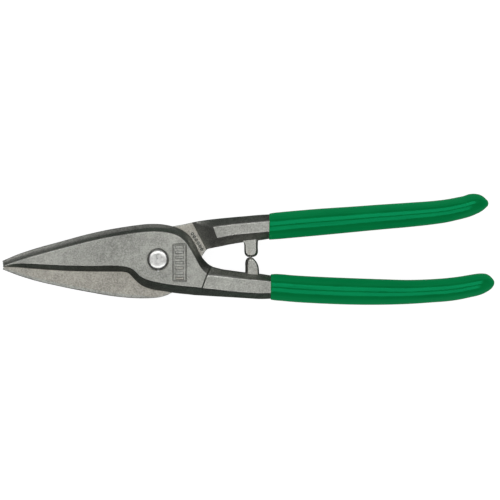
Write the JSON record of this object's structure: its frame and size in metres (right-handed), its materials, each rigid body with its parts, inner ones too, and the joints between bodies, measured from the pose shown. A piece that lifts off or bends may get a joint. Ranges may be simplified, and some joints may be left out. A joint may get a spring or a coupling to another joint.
{
  "type": "tinner's snips",
  "caption": "Berlin-pattern tinner's snips: two forged steel halves crossing at a bolted pivot, straight blades, forged stops and dipped green grips.",
  "frame": {"origin": "on the pivot axis, at the flat end face of the pivot bolt, which is the lowest point when the snips lie with the domed bolt head up", "axes": "+X from the blade tips to the handle ends, +Y from the lower handle to the upper handle, +Z along the pivot axis out of the side with the domed bolt head"},
  "size_m": [0.2743, 0.0621, 0.0201],
  "materials": {
    "forged_steel": "grit-blasted drop forging, lacquered",
    "polished_steel": "polished",
    "zinc_steel": "bright zinc plated",
    "nylon": "moulded nylon",
    "grip_coating": "glossy dipped soft PVC"
  },
  "bodies": {
    "root": {"upper_blade_half": "forged_steel", "pivot_bolt": "polished_steel", "flat_washer": "zinc_steel", "disc_spring": "zinc_steel", "pivot_nut": "zinc_steel", "nut_lock_ring": "nylon", "lower_grip": "grip_coating"},
    "rear_half": {"lower_blade_half": "forged_steel", "upper_grip": "grip_coating"}
  },
  "joints": [
    {"name": "pivot", "type": "hinge", "parent": "root", "child": "rear_half", "pos_m": [0, 0, 0.0131], "axis": [0, 0, 1], "range_deg": [0, 40]}
  ]
}
